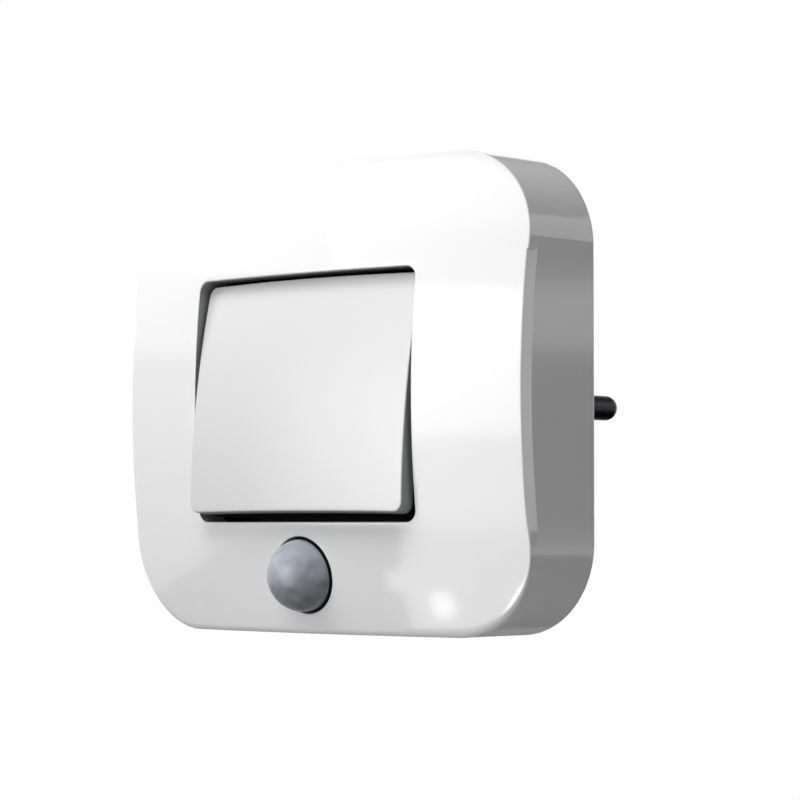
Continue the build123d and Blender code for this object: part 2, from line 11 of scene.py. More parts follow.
import bmesh
import bpy
import numpy as np
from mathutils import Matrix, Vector


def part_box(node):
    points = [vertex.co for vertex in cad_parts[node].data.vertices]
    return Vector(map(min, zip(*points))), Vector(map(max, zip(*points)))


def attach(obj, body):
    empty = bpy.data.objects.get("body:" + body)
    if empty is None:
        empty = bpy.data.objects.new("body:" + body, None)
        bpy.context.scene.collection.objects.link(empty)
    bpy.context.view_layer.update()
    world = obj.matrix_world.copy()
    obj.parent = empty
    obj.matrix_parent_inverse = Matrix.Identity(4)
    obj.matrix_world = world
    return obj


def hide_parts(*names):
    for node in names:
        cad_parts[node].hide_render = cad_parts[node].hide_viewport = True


MM = 0.001

# ---- Sizes of the housing ----------------------------------------------------------
DEPTH = 21.4                # middle of the face over the rear rim
CORNER_R = 13.24            # size of a corner along either side
CORNER_KINK = 2.0           # degrees by which it meets the sides out of line
CROWN_R_UP = 148.0          # face curve seen from the side
CROWN_R_ACROSS = 168.0      # face curve seen from above
EDGE_R = 0.22               # between the face and the side wall
LOWER_EDGE_R = 1.1          # the same, along the lower side
WALL = 2.0
RIM_R = 0.3
BAND_DEPTH = 1.95           # band along the front edge of either upright side
BAND_INSET = 0.2
BAND_TOP = 20.1
BAND_STEP = 0.1             # half the height over which its upper end steps in
BAND_BOTTOM = -17.0
BAND_FADE = 5.0             # height over which it runs out below that

# ---- Sizes of the opening and the rocker -------------------------------------------
BAND_SIDE = 18.1            # housing's face beside the opening
BAND_END = 16.7             # and above and below it
OPEN_R = 1.8
OPEN_EDGE_R = 0.2
COLLAR_WALL = 1.5
COLLAR_DEPTH = 7.5
ROCKER_SIDE_GAP = 0.53
ROCKER_END_GAP = 0.98
ROCKER_R = 1.5
ROCKER_EDGE_R = 0.28
ROCKER_PROUD = 0.2
ROCKER_WALL = 1.6
SKIRT_REACH = 3.1
SKIRT_SHOWS = 2.5           # grey painted shade on the skirt, before the black painted shade of its foot
PIVOT_DEPTH = 4.9
TILT = 7.2

# ---- Sizes of the motion sensor's dome ---------------------------------------------
LENS_UP = 8.75              # its axis over the housing's lower side
LENS_R = 5.45
LENS_HOLE_R = 5.86
LENS_HOLE_EDGE_R = 0.2
LENS_RISE = -0.2            # dome's centre in front of the face
LENS_WALL = 0.6
LENS_FLANGE_R = 6.3
LENS_FLANGE_T = 0.7
LENS_SEAT = 2.4             # flange behind the face
LENS_SHADE_RIM = 0.12            # black painted shade round the dome's foot reaches this far over the face

# ---- Fineness of the surfaces ------------------------------------------------------
SIDE_COLUMNS = 40
CORNER_COLUMNS = 20
FACE_ROWS = 26
EDGE_ROWS = 7
BAND_ROWS = (0.35, 0.8, 1.3, 1.7, 1.85, 1.95, 2.05, 2.2, 2.6)   # behind the front edge
SIDE_ROWS = 12              # side wall, behind those
RIM_ROWS = 5
HOLE_ROWS = 12
HOLE_SHARE = 0.42           # middle part of the lower side that gives way to the hole
DOME_ROWS = 40
DOME_COLUMNS = 96
MERGE_WITHIN = 0.0005       # points nearer than this are one
SHARP_DEGREES = 40          # edges that turn more than this are drawn sharp

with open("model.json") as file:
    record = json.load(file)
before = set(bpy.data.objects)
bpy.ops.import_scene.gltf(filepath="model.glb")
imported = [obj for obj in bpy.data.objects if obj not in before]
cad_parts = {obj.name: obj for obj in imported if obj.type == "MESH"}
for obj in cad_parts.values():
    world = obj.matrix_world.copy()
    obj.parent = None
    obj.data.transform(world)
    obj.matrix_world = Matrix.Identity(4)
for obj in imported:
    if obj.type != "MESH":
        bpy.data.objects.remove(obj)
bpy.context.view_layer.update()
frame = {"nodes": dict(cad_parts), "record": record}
half_w, rim_y, half_h = np.array(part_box("front_cover")[1]) / MM
face_y = rim_y - DEPTH
pivot_y = face_y + PIVOT_DEPTH
open_half_w = half_w - BAND_SIDE
open_half_h = half_h - BAND_END
lens_z = LENS_UP - half_h


# ---- Surfaces ----------------------------------------------------------------------
def crown(x, z, inset=0.0):
    """Depth of the crowned face, moved in by inset: an arc of radius CROWN_R_UP in the
    upright plane, turned about an upright axis CROWN_R_ACROSS behind the face's middle."""
    reach = CROWN_R_ACROSS - CROWN_R_UP + np.sqrt((CROWN_R_UP - inset) ** 2 - z ** 2)
    return face_y + CROWN_R_ACROSS - np.sqrt(reach ** 2 - x ** 2)


def rounded_ring(half_across, half_up, radius, steps, kink=0.0):
    """A rounded rectangle of the front view, anticlockwise from its lower left corner.
    Gives a core and an outward direction for each column: the outline itself is core +
    radius * outward, and the same outline moved out by d is core + (radius + d) * outward.
    Steps run from -1 to 1 along each straight side. Each corner is an arc that meets its
    sides out of line by the kink."""
    cores, outwards = [], []
    bends = np.linspace(kink, math.pi / 2 - kink, CORNER_COLUMNS)
    arc_radius = radius / math.sqrt(2) / math.sin(math.pi / 4 - kink)
    for quarter in range(4):
        angle = (quarter - 1) * math.pi / 2
        out = np.array([math.cos(angle), math.sin(angle)])
        along = np.array([-out[1], out[0]])
        run, rise = (half_across, half_up) if quarter % 2 == 0 else (half_up, half_across)
        side = along * ((run - radius) * steps)[:, None] + out * (rise - radius)
        turned = np.stack([np.cos(angle + bends), np.sin(angle + bends)], axis=-1)
        arc_middle = side[-1] + radius * out - arc_radius * turned[0]
        cores += [side, arc_middle + (arc_radius - radius) * turned]
        outwards += [np.repeat(out[None], len(steps), axis=0), turned]
    return np.concatenate(cores), np.concatenate(outwards)


def smooth(share):
    """Eases from 0 to 1 without a corner, as 3 shares squared less 2 shares cubed."""
    share = np.clip(share, 0, 1)
    return share * share * (3 - 2 * share)


def in_depth(xz, y):
    """Points in space from places in the front view and their depths."""
    return np.stack([xz[..., 0], np.broadcast_to(y, xz.shape[:-1]), xz[..., 1]], axis=-1)


def turned_edge(wall, outward, face, radius):
    """Rows round an edge between a face and the wall beside it. Seen along the edge this is
    an arc of the given radius, from where its normal is the face's to where it is the
    wall's. Its centre lies one radius inside the wall."""
    radius = np.broadcast_to(radius, len(wall))

    def depth(reach):
        place = wall + outward * reach[:, None]
        return face(place[:, 0], place[:, 1])

    # the face's slope beside the wall, taken over 0.02 mm
    lean = np.arctan((depth(0.01 - radius) - depth(-0.01 - radius)) / 0.02)
    centre_y = depth(radius * (np.sin(lean) - 1)) + radius * np.cos(lean)
    angle = lean + (math.pi / 2 - lean) * np.linspace(0, 1, EDGE_ROWS)[:, None]
    reach = radius * (np.sin(angle) - 1)
    return in_depth(wall + outward * reach[..., None], centre_y - radius * np.cos(angle))


def between(first, last, rows):
    """Rows in even steps from one row of points to another, both left out."""
    share = np.linspace(0, 1, rows + 2)[1:-1, None, None]
    return first * (1 - share) + last * share


def over_crown(first, last, inset=0.0):
    """Rows from one row of points to another, both kept, with those between laid on the
    crowned face moved in by inset."""
    rows = between(first, last, FACE_ROWS)
    rows[..., 1] = crown(rows[..., 0], rows[..., 2], inset)
    return np.concatenate([first[None], rows, last[None]])


def leaned(points, degrees):
    """Points turned about the rocker's pivot, those above it towards the wall."""
    lean = math.radians(degrees)
    y, z = points[..., 1] - pivot_y, points[..., 2]
    return np.stack([points[..., 0], pivot_y + y * math.cos(lean) + z * math.sin(lean),
                     z * math.cos(lean) - y * math.sin(lean)], axis=-1)


def grid_faces(rows, columns, start, closed_rows=False):
    """Four-sided faces of a grid whose columns close on themselves."""
    index = start + np.arange(rows * columns).reshape(rows, columns)
    if closed_rows:
        index = np.concatenate([index, index[:1]])
    beside = np.roll(index, -1, axis=1)
    return np.stack([index[:-1], beside[:-1], beside[1:], index[1:]], axis=-1)


def make_piece(name, points, faces, body, materials, picks, crease_z):
    """A closed mesh piece from points in millimetres: doubles merged, faces outward. From
    the middles and normals of the faces, picks gives the number of each one's material.
    Edges along the outer sides at the height crease_z, up or down, are sharp."""
    mesh = bpy.data.meshes.new(name)
    mesh.from_pydata(points.reshape(-1, 3) * MM, [], faces.reshape(-1, 4).tolist())
    shell = bmesh.new()
    shell.from_mesh(mesh)
    bmesh.ops.remove_doubles(shell, verts=shell.verts, dist=MERGE_WITHIN * MM)
    loose = [vertex for vertex in shell.verts if not vertex.link_faces]
    bmesh.ops.delete(shell, geom=loose, context="VERTS")
    bmesh.ops.recalc_face_normals(shell, faces=shell.faces)
    shell.to_mesh(mesh)
    shell.free()
    mesh.shade_smooth()
    mesh.set_sharp_from_angle(angle=math.radians(SHARP_DEGREES))
    if crease_z:
        place = np.abs(np.array([vertex.co for vertex in mesh.vertices])) / MM
        on_crease = (np.abs(place[:, 2] - crease_z) < 0.002) & (place[:, 0] > half_w - 0.5)
        ends = np.array([edge.vertices for edge in mesh.edges])
        sharp = np.array([edge.use_edge_sharp for edge in mesh.edges])
        mesh.edges.foreach_set("use_edge_sharp", sharp | on_crease[ends].all(axis=1))
    for finish in materials:
        mesh.materials.append(finish)
    middles, normals = (np.array([getattr(face, what) for face in mesh.polygons])
                        for what in ("center", "normal"))
    numbers = picks(middles / MM, normals).astype(np.int32)
    mesh.polygons.foreach_set("material_index", numbers)
    piece = bpy.data.objects.new(name, mesh)
    bpy.context.scene.collection.objects.link(piece)
    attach(piece, body)
    return piece


# ---- Housing -----------------------------------------------------------------------
def housing_columns():
    """Places of the columns along each straight side, from -1 to 1: even ones, and some
    close together where the band's upper end steps in."""
    even = np.linspace(-1, 1, SIDE_COLUMNS + 1)
    close = (BAND_TOP + np.array([-BAND_STEP, BAND_STEP, 0.7])) / (half_h - CORNER_R)
    return np.unique(np.round(np.concatenate([even, close, -close]), 6))


def band_inset(height, outward):
    """How far the band along the front edge stands in, column by column: on the upright
    sides only, from its step at BAND_TOP down to BAND_BOTTOM, and running out below."""
    upright = np.abs(outward[:, 0]) > 0.999
    begun = np.clip((BAND_TOP + BAND_STEP - height) / (2 * BAND_STEP), 0, 1)
    left = smooth((height - BAND_BOTTOM + BAND_FADE) / BAND_FADE)
    return BAND_INSET * upright * begun * left


def side_wall(core, outward, inset, edge_y):
    """The side wall from the front edge back to the rim: rows close together round the
    band's rear border, then even ones. The band's inset shrinks evenly from the front edge
    to nothing at that border."""
    near = edge_y + np.array(BAND_ROWS)[:, None]
    share = np.linspace(0, 1, SIDE_ROWS)[1:, None]
    depth = np.concatenate([near, near[-1] * (1 - share) + (rim_y - RIM_R) * share])
    hollow = inset * np.clip(1 - (depth - edge_y) / BAND_DEPTH, 0, 1)
    return in_depth(core + (CORNER_R - hollow)[..., None] * outward, depth)


def rear_rim(core, outward):
    """The rim: a quarter turn off the side wall, then one onto the wall's inner side."""
    off = np.linspace(0, math.pi / 2, RIM_ROWS)[1:]
    onto = np.linspace(math.pi / 2, 0, RIM_ROWS)
    reach = np.concatenate([RIM_R * (np.cos(off) - 1), RIM_R * (1 - np.cos(onto)) - WALL])
    depth = rim_y + RIM_R * (np.sin(np.concatenate([off, onto])) - 1)
    return in_depth(core + (CORNER_R + reach)[:, None, None] * outward, depth[:, None])


def lens_axes():
    """Middle of the sensor's hole on the crown, and the directions across, up and out."""
    lean = math.asin(-lens_z / CROWN_R_UP)
    middle = np.array([0.0, crown(0.0, lens_z), lens_z])
    across = np.array([1.0, 0.0, 0.0])
    up = np.array([0.0, -math.sin(lean), math.cos(lean)])
    out = np.array([0.0, -math.cos(lean), -math.sin(lean)])
    return middle, across, up, out


def round_the_lens(angle, radius, height):
    """Points round the lens axis, at a radius from it and a height over the face."""
    middle, across, up, out = lens_axes()
    angle, radius, height = (
        np.asarray(part)[..., None] for part in np.broadcast_arrays(angle, radius, height))
    return middle + radius * (np.cos(angle) * across + np.sin(angle) * up) + height * out


def crown_height(angle, radius, inset):
    """Height along the lens axis at which a cylinder round it meets the crowned face, by
    stepping six times along the axis by what is still missing in depth."""
    height = np.zeros(len(angle))
    for _ in range(6):
        points = round_the_lens(angle, radius, height)
        missing = points[:, 1] - crown(points[:, 0], points[:, 2], inset)
        height += missing / -lens_axes()[3][1]
    return height


def patch_round_hole(rows, left, right, radius, inset):
    """Fills the columns from left to right of a face's rows up to a round hole: rings that
    blend the patch's four sides into the hole's circle, closer together near the hole, and
    lie on the crown."""
    rim = np.concatenate([rows[0, left:right], rows[:-1, right],
                          rows[-1, right:left:-1], rows[:0:-1, left]])
    middle = lens_axes()[0]
    angle = np.arctan2(rim[:, 2] - middle[2], rim[:, 0] - middle[0])
    ring = round_the_lens(angle, radius, crown_height(angle, radius, inset))
    share = (np.linspace(0, 1, HOLE_ROWS) ** 1.5)[:, None]
    x = ring[:, 0] * (1 - share) + rim[:, 0] * share
    z = ring[:, 2] * (1 - share) + rim[:, 2] * share
    return angle, np.stack([x, crown(x, z, inset), z], axis=-1)


def lens_hole(face, back, left, right):
    """Rows of the dome's hole: the patch on the face, the turned edge, the wall and the
    patch on the back of the face."""
    outer_r = LENS_HOLE_R + LENS_HOLE_EDGE_R
    angle, patch = patch_round_hole(face, left, right, outer_r, 0.0)
    back_patch = patch_round_hole(back[::-1], left, right, LENS_HOLE_R, WALL)[1]
    turn = np.linspace(0, math.pi / 2, EDGE_ROWS)[1:, None]
    top = crown_height(angle, outer_r, 0.0)
    edge = round_the_lens(angle, outer_r - LENS_HOLE_EDGE_R * np.sin(turn),
                          top - LENS_HOLE_EDGE_R * (1 - np.cos(turn)))
    return np.concatenate([patch[::-1], edge, between(edge[-1], back_patch[0], 4), back_patch])


def housing():
    """The front cover as one closed shell: the opening's edge, the crowned face, the outer
    edge, the side wall with its band, the rim, the back of the face, the collar, the
    opening's wall, and the dome's hole in the middle columns of the lower side."""
    steps = housing_columns()
    core, outward = rounded_ring(half_w, half_h, CORNER_R, steps, math.radians(CORNER_KINK))
    open_core, open_outward = rounded_ring(open_half_w, open_half_h, OPEN_R, steps)
    open_wall = open_core + OPEN_R * open_outward
    collar = open_core + (OPEN_R + COLLAR_WALL) * open_outward
    inner_wall = core + (CORNER_R - WALL) * outward

    inset = band_inset(core[:, 1], outward)
    outline = core + (CORNER_R - inset)[:, None] * outward
    downward = smooth((-outward[:, 1] - 0.2) / 0.8)
    outer_edge = turned_edge(outline, outward, crown,
                             EDGE_R + (LOWER_EDGE_R - EDGE_R) * downward)
    open_edge = turned_edge(open_wall, -open_outward, crown, OPEN_EDGE_R)[::-1]
    face = over_crown(open_edge[-1], outer_edge[0])
    back = over_crown(*(in_depth(ring, crown(ring[:, 0], ring[:, 1], WALL))
                        for ring in (inner_wall, collar)), WALL)
    collar_y = face_y + COLLAR_DEPTH
    collar_rows = np.stack([in_depth(collar, collar_y), in_depth(open_wall, collar_y)])

    front = np.concatenate([open_edge[:-1], face, outer_edge[1:],
                            side_wall(core, outward, inset, outer_edge[-1, :, 1]),
                            rear_rim(core, outward)])
    rows = np.concatenate([front, back, collar_rows,
                           between(collar_rows[-1], open_edge[0], 5)])
    faces = grid_faces(*rows.shape[:2], 0, closed_rows=True)
    keep = np.ones(faces.shape[:2], bool)
    left, right = (int(np.argmin(np.abs(steps - end))) for end in (-HOLE_SHARE, HOLE_SHARE))
    for first in (len(open_edge) - 1, len(front)):
        keep[first:first + len(face) - 1, left:right] = False
    hole = lens_hole(face, back, left, right)
    hole_faces = grid_faces(*hole.shape[:2], rows.shape[0] * rows.shape[1])
    return (np.concatenate([rows.reshape(-1, 3), hole.reshape(-1, 3)]),
            np.concatenate([faces[keep], hole_faces.reshape(-1, 4)]))


# ---- Rocker ------------------------------------------------------------------------
def rocker():
    """The rocker as one closed shell: crowned face from its middle out to its turned edge,
    skirt, and the hollow behind, all leaned back by TILT about the pivot."""
    steps = np.linspace(-1, 1, SIDE_COLUMNS + 1)
    half_across = open_half_w - ROCKER_SIDE_GAP
    half_up = open_half_h - ROCKER_END_GAP
    core, outward = rounded_ring(half_across, half_up, ROCKER_R, steps)

    def face(x, z):
        return crown(x, z, -ROCKER_PROUD)

    outline = core + ROCKER_R * outward
    edge = turned_edge(outline, outward, face, ROCKER_EDGE_R)
    share = np.linspace(0, 1, FACE_ROWS)[:, None, None]
    top = edge[0] * share
    top[..., 1] = face(top[..., 0], top[..., 2])
    back_y = pivot_y + SKIRT_REACH
    shown = in_depth(outline, face(outline[:, 0], outline[:, 1]) + SKIRT_SHOWS)
    foot = in_depth(outline, back_y)
    inside, inward = rounded_ring(half_across - ROCKER_WALL, half_up - ROCKER_WALL,
                                  ROCKER_EDGE_R, steps)
    inside = inside + ROCKER_EDGE_R * inward
    under = in_depth(inside, 0) * share[::-1]
    under[..., 1] = crown(under[..., 0], under[..., 2], ROCKER_WALL - ROCKER_PROUD)
    rows = np.concatenate([top[:-1], edge, between(edge[-1], shown, 3), shown[None],
                           between(shown, foot, 3), foot[None],
                           in_depth(inside, back_y)[None], under])
    return leaned(rows, TILT), grid_faces(*rows.shape[:2], 0)


# ---- Dome --------------------------------------------------------------------------
def dome():
    """The sensor's lens turned round its axis: a hemisphere on a short neck, the flange
    behind the housing's wall and the hollow inside."""
    rise = np.linspace(0, math.pi / 2, DOME_ROWS)
    inner = LENS_R - LENS_WALL
    back = -LENS_SEAT - LENS_FLANGE_T
    radius = np.concatenate([LENS_R * np.sin(rise),
                             [LENS_R, LENS_FLANGE_R, LENS_FLANGE_R, inner],
                             inner * np.sin(rise[::-1])])
    height = np.concatenate([LENS_RISE + LENS_R * np.cos(rise),
                             [-LENS_SEAT, -LENS_SEAT, back, back],
                             LENS_RISE + inner * np.cos(rise[::-1])])
    angle = np.linspace(0, 2 * math.pi, DOME_COLUMNS, endpoint=False)
    points = round_the_lens(angle, radius[:, None], height[:, None])
    return points, grid_faces(*points.shape[:2], 0)


# ---- Materials ---------------------------------------------------------------------
def linear(hex_colour):
    """An sRGB hex colour as linear red, green, blue and 1."""
    parts = [int(hex_colour[start:start + 2], 16) / 255 for start in (1, 3, 5)]
    return tuple(part / 12.92 if part <= 0.04045 else ((part + 0.055) / 1.055) ** 2.4
                 for part in parts) + (1.0,)


def add(tree, kind, settings):
    """Adds a shader node. Each setting is one of its inputs, given as a value or as another
    node's output to link, or else one of the node's own properties."""
    made = tree.nodes.new(kind)
    for name, value in settings.items():
        socket = made.inputs[name] if isinstance(name, int) or name in made.inputs else None
        if socket is None:
            setattr(made, name, value)
        elif isinstance(value, bpy.types.NodeSocket):
            tree.links.new(value, socket)
        else:
            socket.default_value = value
    return made


def clouded_with_painted_shade(tree, place, colour, second, patch_mm, start, way):
    """A colour that passes into a second one along the way, beginning at its start, both
    millimetres, with soft patches of the given size where they meet. Here the passing is
    painted shade and the patches the material's own uneven tone."""
    patches = add(tree, "ShaderNodeTexNoise", {
        "Vector": place, "Scale": 1 / (patch_mm * MM), "Detail": 2.0})
    patches = add(tree, "ShaderNodeMapRange", {
        "Value": patches.outputs["Fac"], "From Min": 0.35, "From Max": 0.65,
        "To Min": -0.2, "To Max": 0.2})
    begun = add(tree, "ShaderNodeVectorMath", {
        "operation": "SUBTRACT", 0: place, 1: tuple(start * MM)})
    grown = add(tree, "ShaderNodeVectorMath", {
        "operation": "DOT_PRODUCT", 0: begun.outputs["Vector"],
        1: tuple(way / (way @ way) / MM)})
    share = add(tree, "ShaderNodeMath", {
        "operation": "ADD", 0: patches.outputs["Result"], 1: grown.outputs["Value"]})
    mix = add(tree, "ShaderNodeMix", {
        "data_type": "RGBA", "Factor": share.outputs["Value"],
        6: linear(colour), 7: linear(second)})
    return mix.outputs[2]


def material(name, colour, grain_mm, height_mm, cells=False, cloud=None, **surface):
    """A Principled surface with a fine relief: noise, or with cells a field of soft round
    cells. The grain is the width of one bump or cell and the height what it stands out,
    both real sizes in millimetres. A cloud holds a second colour, its patches and the way
    it spreads, which paints shade; all else is the shader's own settings."""
    made = bpy.data.materials.new(name)
    made.use_nodes = True
    tree = made.node_tree
    shader = tree.nodes["Principled BSDF"]
    shader.inputs["Base Color"].default_value = linear(colour)
    for socket, value in surface.items():
        shader.inputs[socket.replace("_", " ")].default_value = value
    place = add(tree, "ShaderNodeTexCoord", {}).outputs["Object"]
    grain = {"Vector": place, "Scale": 1 / (grain_mm * MM)}
    if cells:
        relief = add(tree, "ShaderNodeTexVoronoi", {
            "feature": "SMOOTH_F1", "Smoothness": 0.6, **grain}).outputs["Distance"]
    else:
        relief = add(tree, "ShaderNodeTexNoise", {"Detail": 3.0, **grain}).outputs["Fac"]
    bump = add(tree, "ShaderNodeBump", {
        "Height": relief, "Distance": height_mm * MM, "Strength": 1.0})
    tree.links.new(bump.outputs["Normal"], shader.inputs["Normal"])
    if cloud:
        tree.links.new(clouded_with_painted_shade(tree, place, colour, *cloud), shader.inputs["Base Color"])
    return made


def finishes():
    """Every finish of the light, by its slot in the record."""
    # painted shade: the dome darkens from left of its middle, over its own size, to the lower
    # right
    lens_painted_shade = ("#67686B", 2.6, lens_axes()[0] + LENS_R * np.array([-0.1, 0.0, 0.2]),
                 LENS_R * np.array([0.9, 0.0, -1.4]))
    return {
        # ABS moulded in a polished tool: white, wet-looking, with the faint swell of a
        # large moulded face
        "gloss_white": material(
            "polished ABS", "#F7F7F7", 9.0, 0.002, IOR=1.53, Roughness=0.09),
        # ABS moulded in a spark-eroded tool: white, with a fine even tooth
        "satin_white": material(
            "spark-eroded ABS", "#EFEFEE", 0.3, 0.004, IOR=1.53, Roughness=0.42),
        # opal polycarbonate: milky white that lets light through, satin skin
        "opal_white": material(
            "opal polycarbonate", "#DADADA", 0.35, 0.003, IOR=1.58, Roughness=0.28),
        # brass with a black nickel plate: dark, smooth, a little brushed by the contacts
        "dark_plated_pin": material(
            "black nickel plate on brass", "#2E2E30", 0.12, 0.001, Metallic=1.0, Roughness=0.3),
        # glass-filled black nylon: satin, with a slight grain from the glass
        "black_plastic": material(
            "black nylon", "#1C1C1D", 0.2, 0.003, IOR=1.53, Roughness=0.45),
        # dark grey polycarbonate of the tray, spark-eroded until it hardly shines
        "dark_grey_plastic": material(
            "dark grey polycarbonate", "#1C1C1D", 0.3, 0.003,
            Specular_IOR_Level=0.1, Roughness=0.6),
        # rolled brass strip: yellow metal with a fine rolled grain
        "contact_brass": material(
            "rolled brass", "#D8B878", 0.1, 0.001, Metallic=1.0, Roughness=0.28),
        # zinc-plated steel: cool grey, slightly cloudy
        "steel": material(
            "zinc-plated steel", "#C0C2C4", 0.15, 0.001, Metallic=1.0, Roughness=0.3),
        # moulded polyethylene: milky and waxy, blue-grey, with painted shade that darkens it to
        # the lower right, and with the lens's cells moulded inside
        "milky_lens": material(
            "moulded polyethylene", "#A8ADB8", 2.8, 0.05, cells=True, cloud=lens_painted_shade,
            IOR=1.51, Specular_IOR_Level=0.35, Roughness=0.24),
        # nickel-plated can of the sensor: warm grey metal, nearly bright
        "sensor_can": material(
            "nickel-plated can", "#CFCBC2", 0.1, 0.001, Metallic=1.0, Roughness=0.22),
        # glass epoxy board under green solder mask: deep green lacquer, lightly glossy
        "circuit_board": material(
            "green solder mask", "#1F5A36", 0.25, 0.002, IOR=1.5, Roughness=0.3),
        # glass epoxy board under white solder mask: chalk white lacquer, lightly glossy
        "white_board": material(
            "white solder mask", "#EDEDE6", 0.25, 0.002, IOR=1.5, Roughness=0.3),
        # silicone with yellow phosphor: soft, dull yellow
        "led_yellow": material(
            "phosphor silicone", "#E9D36A", 0.15, 0.002, IOR=1.42, Roughness=0.4),
        # moulded polyester box of the film capacitor: plain yellow, satin
        "capacitor_yellow": material(
            "yellow polyester box", "#E0B23C", 0.3, 0.003, IOR=1.57, Roughness=0.4),
        # epoxy lacquer that the part was dipped in: blue, uneven, half glossy
        "component_blue": material(
            "dipped blue lacquer", "#2F5FA8", 0.8, 0.01, IOR=1.5, Roughness=0.35),
    }


# ---- Pieces ------------------------------------------------------------------------
def dress_nodes(looks):
    """Gives every CAD node the finish of its slot."""
    slots = {row["node"]: row["material_slot"] for row in frame["record"]["subparts"]}
    for name, obj in frame["nodes"].items():
        obj.data.materials.clear()
        obj.data.materials.append(looks[slots[name]])


def in_opening(middles, normals):
    """The walls of the opening, which take the grey painted shade: faces whose distance from
    its core is up to its radius.
    """
    beyond = np.abs(middles[:, [0, 2]]) - np.array([open_half_w, open_half_h]) + OPEN_R
    return np.hypot(*np.maximum(beyond, 0).T) < OPEN_R + 0.01


def round_the_skirt(middles, normals):
    """1 for all of the rocker that doesn't face the front, and 2 from SKIRT_SHOWS back: the
    grey and the black painted shade of the skirt in the opening.
    """
    upright = leaned(middles, -TILT)
    back = upright[:, 1] - crown(upright[:, 0], upright[:, 2], -ROCKER_PROUD)
    return (normals[:, 1] > -0.5) * (1 + (back > SKIRT_SHOWS))


def round_the_foot(middles, normals):
    """The dome's foot up to a small height over the face, which takes the black painted shade.
    """
    middle, _, _, out = lens_axes()
    return (middles - middle) @ out < LENS_SHADE_RIM


def add_surfaces(looks):
    """The fine surfaces that stand for CAD nodes."""
    # the opening's walls: a matt mid grey, painted shade of the darkness inside the opening
    opening_painted_shade_grey = material(
        "grey painted shade of the opening walls", "#8C8D8E", 0.3, 0.004, IOR=1.53, Roughness=0.5)
    # the rocker's skirt under the opal cap: grey painted shade where it stands in the opening,
    # and its foot black and without shine, painted shade of the deep gap round it
    skirt_painted_shade_grey = material(
        "grey polycarbonate", "#8A8B8C", 0.3, 0.004, IOR=1.58, Roughness=0.4)
    foot_painted_shade_black = material(
        "black painted shade of the skirt foot", "#101011", 0.3, 0.003, Specular_IOR_Level=0.1, Roughness=0.6)
    # black and dull round the foot of the dome: painted shade of the gap in its hole
    painted_shade_rim_black = material(
        "black painted shade round the dome foot", "#151516", 0.4, 0.004, Specular_IOR_Level=0.2, Roughness=0.7)
    for name, shape, node, body, slot, others, picks, crease_z in (
        ("housing_shell", housing(), "front_cover", "housing", "gloss_white",
         [opening_painted_shade_grey], in_opening, half_h - CORNER_R),
        ("rocker_cap", rocker(), "rocker", "rocker", "opal_white",
         [skirt_painted_shade_grey, foot_painted_shade_black], round_the_skirt, None),
        ("lens_dome", dome(), "sensor_lens", "housing", "milky_lens",
         [painted_shade_rim_black], round_the_foot, None),
    ):
        piece = make_piece(name, *shape, body, [looks[slot], *others], picks, crease_z)
        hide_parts(node)


# ---- Camera, light and floor -------------------------------------------------------
CAMERA_PLACE = (0.2998, -0.3530, -0.0189)   # metres
CAMERA_TURN = (92.47, 0.0, 42.2)            # degrees
CAMERA_LENS = 129.7                         # millimetres
AIM = (0.0, -0.035, 0.0)    # what the lamps point at
FLOOR_DROP = 0.220          # floor under the middle of the night light
FLOOR_SIZE = 1.7
FLOOR_LIFT = 0.67           # its emission there, which only the camera meets
FLOOR_LIT = 0.17            # as far out as the lamps light the floor fully
AMBIENT = 0.02              # what the surroundings add to plain surfaces

# Each lamp: degrees to the right of the front, degrees up, distance, width and height in
# metres, and its level, at which 1 lights like a white wall.
SOFT_BOXES = {              # these light the body colours
    "overhead": (2.0, 60.0, 0.50, 0.350, 0.194, 6.6),
    "overhead_left": (-60.0, 48.0, 0.50, 0.386, 0.268, 2.2),
    "front": (4.0, 15.0, 0.60, 0.669, 0.147, 3.55),
    "low": (-10.0, -16.0, 0.35, 0.471, 0.123, 1.35),
    "right": (110.0, 8.0, 0.60, 0.432, 0.322, 0.9),
    "rear": (-155.0, 22.0, 0.70, 0.524, 0.455, 3.2),
}
CARDS = {                   # these show in the gloss only
    "strip": (-15.0, 8.0, 0.60, 0.686, 0.169, 3.0),
    "right_strip": (-11.0, 6.0, 0.60, 0.434, 0.190, 2.2),
    "low_strip": (-5.0, -5.0, 0.60, 0.917, 0.105, 2.8),
    "lowest_strip": (-3.0, -22.5, 0.42, 0.362, 0.179, 3.0),
    "upper_sheet": (-10.0, 24.0, 0.50, 0.549, 0.176, 2.3),
    "left_sheet": (-66.0, 20.0, 0.60, 0.526, 0.277, 0.75),
    "left_fade": (-66.0, 26.0, 0.60, 0.503, 0.233, 0.75),
    "top_sheet": (-5.0, 46.0, 0.24, 0.217, 0.156, 0.6),
    "window": (-22.85, -25.33, 0.457, 0.026, 0.026, 6.0),
    "small_window": (-29.54, -21.36, 0.453, 0.022, 0.022, 3.4),
    "corner_glint": (-4.0, -30.0, 0.36, 0.055, 0.050, 8.0),
    "rear_edge": (139.77, 5.16, 0.513, 0.150, 0.022, 1.5),
    "rear_high": (142.4, 17.16, 0.549, 0.170, 0.145, 0.4),
    "rear_side": (123.36, 2.69, 0.533, 0.140, 0.094, 0.92),
}
FLAGS = {                   # black felt that only the gloss shows, without a level
    "right_flag": (139.88, 3.27, 0.525, 0.150, 0.108),
    "rear_flag": (175.0, 48.0, 0.50, 0.700, 0.330),
    "low_flag": (160.0, -38.0, 0.30, 0.400, 0.200),
}


def bearing(right, up):
    """The direction so many degrees to the right of the night light's front, and up."""
    right, up = math.radians(right), math.radians(up)
    return Vector((math.sin(right) * math.cos(up), -math.cos(right) * math.cos(up),
                   math.sin(up)))


